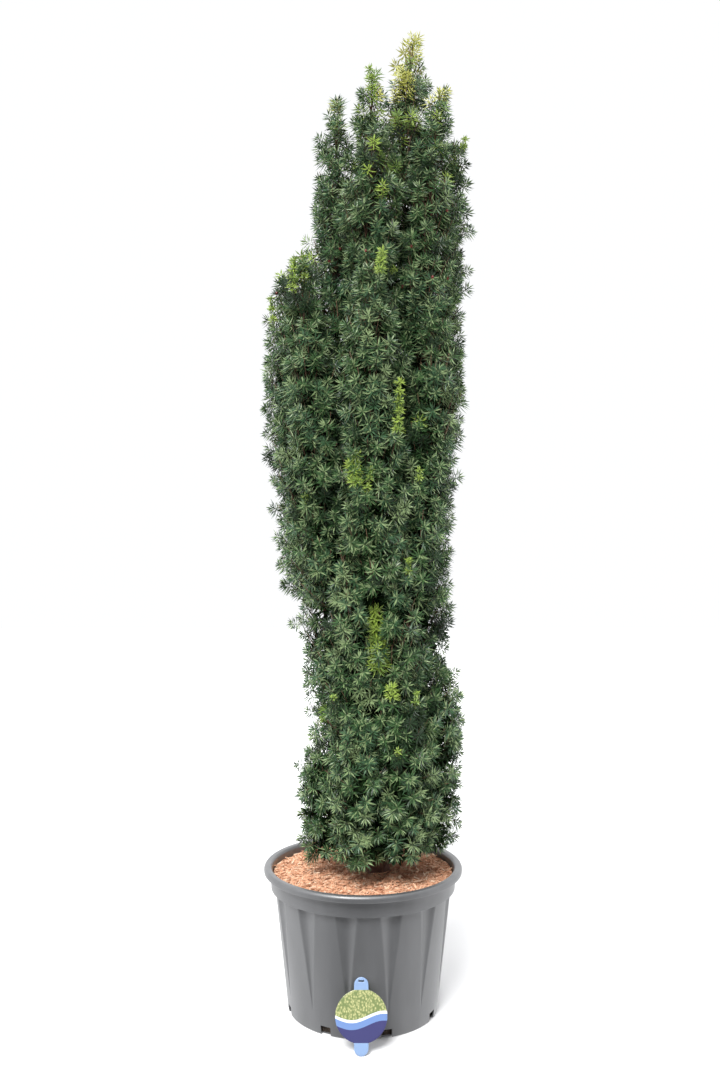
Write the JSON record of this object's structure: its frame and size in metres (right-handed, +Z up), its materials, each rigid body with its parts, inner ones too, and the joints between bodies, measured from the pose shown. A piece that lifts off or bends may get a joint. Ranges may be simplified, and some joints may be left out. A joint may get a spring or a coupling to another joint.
{
  "type": "english yew in a container",
  "caption": "Upright English yew: a narrow evergreen column of steep plumes on boughs from one trunk, in a fluted round container with bark mulch.",
  "frame": {"origin": "centre of the container's flat underside, on the ground", "axes": "+Z up along the container's axis, +X to the right, -Y to the front, where the plant label leans"},
  "size_m": [0.6949, 0.664, 3.174],
  "materials": {
    "container": "satin",
    "compost": "matte",
    "mulch": "matte",
    "bark": "matte",
    "needles": "satin",
    "label": "gloss"
  },
  "bodies": {
    "root": {"container": "container", "compost": "compost", "bark_mulch": "mulch", "trunk": "bark", "bough_skirt_1": "bark", "bough_skirt_2": "bark", "bough_skirt_3": "bark", "bough_skirt_4": "bark", "bough_skirt_5": "bark", "bough_skirt_6": "bark", "bough_low_1": "bark", "bough_low_2": "bark", "bough_low_3": "bark", "bough_low_4": "bark", "bough_low_5": "bark", "bough_low_6": "bark", "bough_middle_1": "bark", "bough_middle_2": "bark", "bough_middle_3": "bark", "bough_middle_4": "bark", "bough_middle_5": "bark", "bough_middle_6": "bark", "bough_middle_7": "bark", "bough_upper_1": "bark", "bough_upper_2": "bark", "bough_upper_3": "bark", "bough_upper_4": "bark", "bough_upper_5": "bark", "bough_upper_6": "bark", "foliage_skirt_1": "needles", "foliage_skirt_2": "needles", "foliage_skirt_3": "needles", "foliage_skirt_4": "needles", "foliage_skirt_5": "needles", "foliage_skirt_6": "needles", "foliage_low_1": "needles", "foliage_low_2": "needles", "foliage_low_3": "needles", "foliage_low_4": "needles", "foliage_low_5": "needles", "foliage_low_6": "needles", "foliage_middle_1": "needles", "foliage_middle_2": "needles", "foliage_middle_3": "needles", "foliage_middle_4": "needles", "foliage_middle_5": "needles", "foliage_middle_6": "needles", "foliage_middle_7": "needles", "foliage_upper_1": "needles", "foliage_upper_2": "needles", "foliage_upper_3": "needles", "foliage_upper_4": "needles", "foliage_upper_5": "needles", "foliage_upper_6": "needles", "foliage_leader": "needles", "plant_label": "label"}
  },
  "joints": []
}
